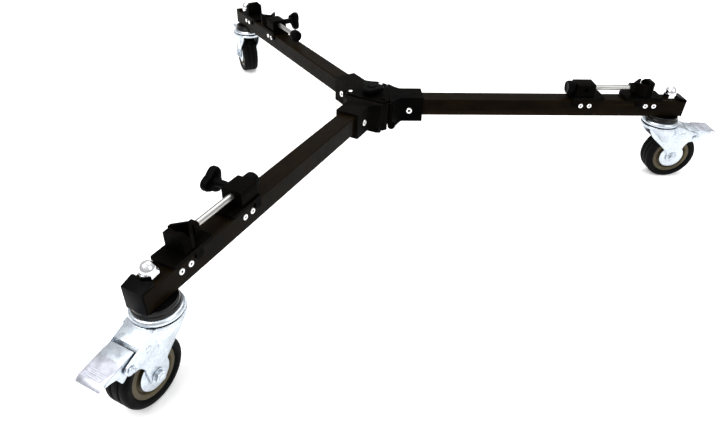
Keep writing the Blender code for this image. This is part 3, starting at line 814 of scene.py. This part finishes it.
def fluted_knob(name, start, end, radius):
    """A round knob about X with shallow flutes on its rim and a dished outer face."""
    flutes, steps, flute_depth = 18, 144, 0.00045
    levels = [
        (0.0, start + 0.0006, 0.0),
        (radius * 0.62, start + 0.0006, 0.0),
        (radius * 0.72, start, 0.0),
        (radius * 0.90, start, 0.3),
        (radius, start + 0.0012, 1.0),
        (radius, end - 0.0014, 1.0),
        (radius * 0.92, end - 0.0001, 0.3),
        (radius * 0.45, end, 0.0),
    ]
    bm = bmesh.new()
    rings = []
    for ring_radius, x, share in levels:
        ring = []
        for i in range(steps):
            a = 2 * pi * i / steps
            r = ring_radius - share * flute_depth * (0.5 + 0.5 * cos(flutes * a))
            ring.append(bm.verts.new((x, r * cos(a), r * sin(a))))
        rings.append(ring)
    for one, other in zip(rings, rings[1:]):
        for i in range(steps):
            j = (i + 1) % steps
            bm.faces.new((one[i], one[j], other[j], other[i]))
    bm.faces.new(rings[-1])
    return smooth(object_from(bm, name), 40.0)


def lobed_outline(middle, depth, steps=90):
    radii = [(2 * pi * i / steps, middle + depth * cos(6 * pi * i / steps)) for i in range(steps)]
    return [(r * cos(a), r * sin(a)) for a, r in radii]


def lobed_knob(name, middle, depth, low, high):
    """A three-lobed knob about Z with soft rims."""
    bm = bmesh.new()
    outline = lobed_outline(1.0, depth / middle)
    rim = 0.0030
    levels = [
        (0.0, low + 0.0004),
        (middle * 0.80, low + 0.0002),
        (middle * 0.93, low + 0.0008),
        (middle, low + rim),
        (middle, high - rim),
        (middle * 0.94, high - 0.0009),
        (middle * 0.80, high),
        (middle * 0.45, high - 0.0004),
        (0.0, high - 0.0004),
    ]
    rings = [[bm.verts.new((x * scale, y * scale, z)) for x, y in outline] for scale, z in levels]
    count = len(outline)
    for one, other in zip(rings, rings[1:]):
        for i in range(count):
            j = (i + 1) % count
            bm.faces.new((one[i], one[j], other[j], other[i]))
    return smooth(object_from(bm, name), 50.0)


def make_star(arm):
    """The set-screw knob: its axis runs along -y, out of the clamp's right side."""
    across = -Vector(JOINTS[f"star_turn_{arm}"]["axis"])
    axes = axes_at(Vector(JOINTS[f"star_turn_{arm}"]["pos_m"]), across)
    axes = axes @ Matrix.Rotation(pi / 2, 4, "X")
    start = -STAR_AT.y
    foot = -extent("star_knob_back", BACK)[1].y - start
    high = -extent("star_knob_back", BACK)[0].y - start
    knob = lobed_knob(f"star_{arm}", 0.0140, 0.0027, high - 0.0100, high)
    stem = [(0.0, foot), (0.0024, foot), (0.0024, 0.0130 - start), (0.0045, 0.0134 - start)]
    stem += [(0.0046, high - 0.0125), (0.0062, high - 0.0095), (0.0, high - 0.0095)]
    boss = [(0.0, -0.0010), (0.0058, -0.0010), (0.0056, 0.0006), (0.0046, 0.0008), (0.0, 0.0004)]
    boss = rounded([(radius, high + z) for radius, z in boss], 0.0004, 2, closed=False)
    knob = settle(knob, lathe("stem", stem, 40, closed=False), lathe("boss", boss, 40, closed=False))
    place(knob, PLASTIC, f"star_{arm}", axes, [f"star_knob_{arm}"])


def make_lock_knob():
    low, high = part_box("lock_knob")
    base = HUB.z
    top = high.z - base
    knob = lobed_knob("hub_knob", 0.0156, 0.0027, 0.0078, top - 0.0010)
    foot = low.z - base
    stem = [(0.0, foot), (0.0039, foot), (0.0039, 0.0060), (0.0088, 0.0062), (0.0092, 0.0090), (0.0, 0.0090)]
    crown = [(0.0, -0.0030), (0.0072, -0.0030), (0.0069, -0.0006), (0.0055, 0.0), (0.0, -0.0002)]
    crown = rounded([(radius, top + z) for radius, z in crown], 0.0006, 3, closed=False)
    knob = settle(knob, lathe("stem", stem, 40, closed=False), lathe("crown", crown, 48, closed=False))
    place(knob, PLASTIC, "lock_knob", Matrix.Translation(HUB), ["lock_knob"])


def make_cover_screws():
    """Cross-recessed screws in the cover, between the arms. The last one is steel too, painted black as painted
    shade for a head that catches no light.
    """
    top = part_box("hub_cover")[1].z - HUB.z
    reach, foot = 0.0305, top - 0.0016
    slot_end, slot_half = 0.0019, 0.00035
    cross = [(-slot_end, -slot_half), (slot_end, -slot_half), (slot_end, slot_half), (-slot_end, slot_half)]
    shaded_last = 2
    for index in range(shaded_last + 1):
        angle = radians(60.0 + 120.0 * index)
        at = Matrix.Translation(HUB + Vector((reach * cos(angle), reach * sin(angle), 0)))
        head = [(0.0, foot), (0.0033, foot), (0.0033, top - 0.0004)]
        head += [(0.0026, top + 0.0002), (0.0, top + 0.0005)]
        screw = lathe(f"cover_screw_{index}", rounded(head, 0.0004, 2, closed=False), 40, closed=False)
        for turn in (0.0, pi / 2):
            slot = plate("slot", cross, top - 0.0005, top + 0.002, "XY", 0)
            slot.data.transform(Matrix.Rotation(turn + 0.4 * index, 4, "Z"))
            carve(screw, slot)
        # Painted shade: the last steel screw takes the black casting finish in place of its unlit steel.
        place(screw, CASTING if index == shaded_last else RIVET_STEEL, "hub", at)


CAST_KINDS = ("arm_socket", "clamp_housing", "jaw_bracket", "moving_jaw", "hub_body", "hub_cover")


def make_end_cap(arm):
    """A plug with a raised, chamfered top that has room for the dome nut."""
    inner, lip = CAP_START, TUBE_END + GAP
    outer, foot = TUBE_END + 0.0017, -2 * TUBE_HALF
    outline = [(inner, GAP), (lip, GAP), (lip, foot), (outer, foot), (outer, 0.0008)]
    outline += [(inner + 0.0022, 0.0046), (inner, 0.0037)]
    half = TUBE_HALF - 0.0001
    cap = plate(f"cap_{arm}", outline, -half, half, "XZ", 0.0005)
    low, high = -0.01, 0.02
    round_room = [(0.0, low), (NUT_ROOM, low), (NUT_ROOM, high), (0.0, high)]
    room = lathe("room", round_room, 64, closed=False)
    room.data.transform(Matrix.Translation((KINGPIN_X, 0, 0)))
    carve(cap, room)
    place(cap, PLASTIC, f"arm_{arm}", arm_axes(arm), [f"end_cap_{arm}"])


def make_black_parts():
    """The cast, painted and moulded parts keep their CAD shapes, with rounded edges."""
    for body, members in frame["record"]["behaviour"]["bodies"].items():
        for node in members:
            stem, _, arm = node.rpartition("_")
            kind = stem if arm in ARMS else node
            if kind in CAST_KINDS:
                place(softened(node, 0.0007), CASTING, body, replaced=[node])
            elif kind == "hinge_pin":
                place(softened(node, 0.0003), CASTING, body, replaced=[node])
            elif kind == "arm_tube":
                place(softened(node, 0.0002), PAINT, body, replaced=[node])


# Studio


def make_studio():
    scene = bpy.context.scene
    world = bpy.data.worlds.new("studio")
    world.use_nodes = True
    scene.world = world
    tree = world.node_tree
    background = tree.nodes["Background"]
    place_node = tree.nodes.new("ShaderNodeTexCoord")
    split = tree.nodes.new("ShaderNodeSeparateXYZ")
    ramp = tree.nodes.new("ShaderNodeValToRGB")
    tree.links.new(place_node.outputs["Generated"], split.inputs["Vector"])
    tree.links.new(split.outputs["Z"], ramp.inputs["Fac"])
    stops = ((0.0, 0.42), (0.35, 0.62), (1.0, 1.0))
    ramp.color_ramp.elements.new(0.5)
    for element, (at, level) in zip(ramp.color_ramp.elements, stops):
        element.position = at
        element.color = (level, level, level, 1.0)
    tree.links.new(ramp.outputs["Color"], background.inputs["Color"])
    background.inputs["Strength"].default_value = 1.0

    bm = bmesh.new()
    bmesh.ops.create_grid(bm, x_segments=1, y_segments=1, size=6.0)
    floor = object_from(bm, "floor")
    material, nodes = new_material("floor_white", specular=0.1)
    tone = nodes.ramp(nodes.noise(3.0), [(0.2, (0.86, 0.86, 0.86)), (0.8, (0.90, 0.90, 0.90))])
    nodes.link(tone, nodes.shader.inputs["Base Color"])
    nodes.shader.inputs["Roughness"].default_value = 0.9
    nodes.shader.inputs["Emission Color"].default_value = (1.0, 1.0, 1.0, 1.0)
    nodes.shader.inputs["Emission Strength"].default_value = 0.25
    floor.data.materials.append(material)

    for name, at, size, power in (
        ("key", (-1.1, -0.7, 1.7), 1.1, 26.0),
        ("fill", (1.4, -1.2, 1.4), 1.4, 12.0),
        ("top", (0.2, 0.9, 2.0), 1.6, 22.0),
    ):
        light = bpy.data.lights.new(name, "AREA")
        light.size = size
        light.energy = power
        lamp = bpy.data.objects.new(name, light)
        lamp.location = at
        lamp.rotation_euler = (Vector((0, 0, 0.05)) - Vector(at)).to_track_quat("-Z", "Y").to_euler()
        scene.collection.objects.link(lamp)
    scene.view_settings.view_transform = "Standard"


def make_camera():
    """The camera stands in front of the dolly and looks down on it."""
    right_arm = radians(4.627)  # the right arm's direction, from the camera's own heading frame
    stand = Vector((0.00174, -0.7874, 0.3591))
    yaw, pitch, roll = radians(-0.882), radians(36.436), radians(2.002)
    forward = Vector((sin(yaw) * cos(pitch), cos(yaw) * cos(pitch), -sin(pitch)))
    level = Vector((cos(yaw), -sin(yaw), 0.0))
    rise = level.cross(forward)
    right = cos(roll) * level + sin(roll) * rise
    up = -sin(roll) * level + cos(roll) * rise
    turn = Matrix((right, up, -forward)).transposed()
    about_hub = Matrix.Translation(HUB) @ Matrix.Rotation(-right_arm, 4, "Z")
    camera = bpy.data.cameras.new("camera")
    camera.sensor_fit = "HORIZONTAL"
    camera.sensor_width = 36.0
    camera.lens = 28.80
    view = bpy.data.objects.new("camera", camera)
    view.matrix_world = about_hub @ Matrix.Translation(stand) @ turn.to_4x4()
    bpy.context.scene.collection.objects.link(view)
    bpy.context.scene.camera = view


make_camera()
make_studio()
for name in ARMS:
    make_tyre(name)
    make_core(name)
    make_axle(name)
    make_fork(name)
    make_race(name)
    make_pedal(name)
    make_cap_nut(name)
    make_rivets(name)
    make_rod(name)
    make_end_cap(name)
    if name in STAR_ARMS:
        make_star(name)
make_lock_knob()
make_cover_screws()
make_black_parts()
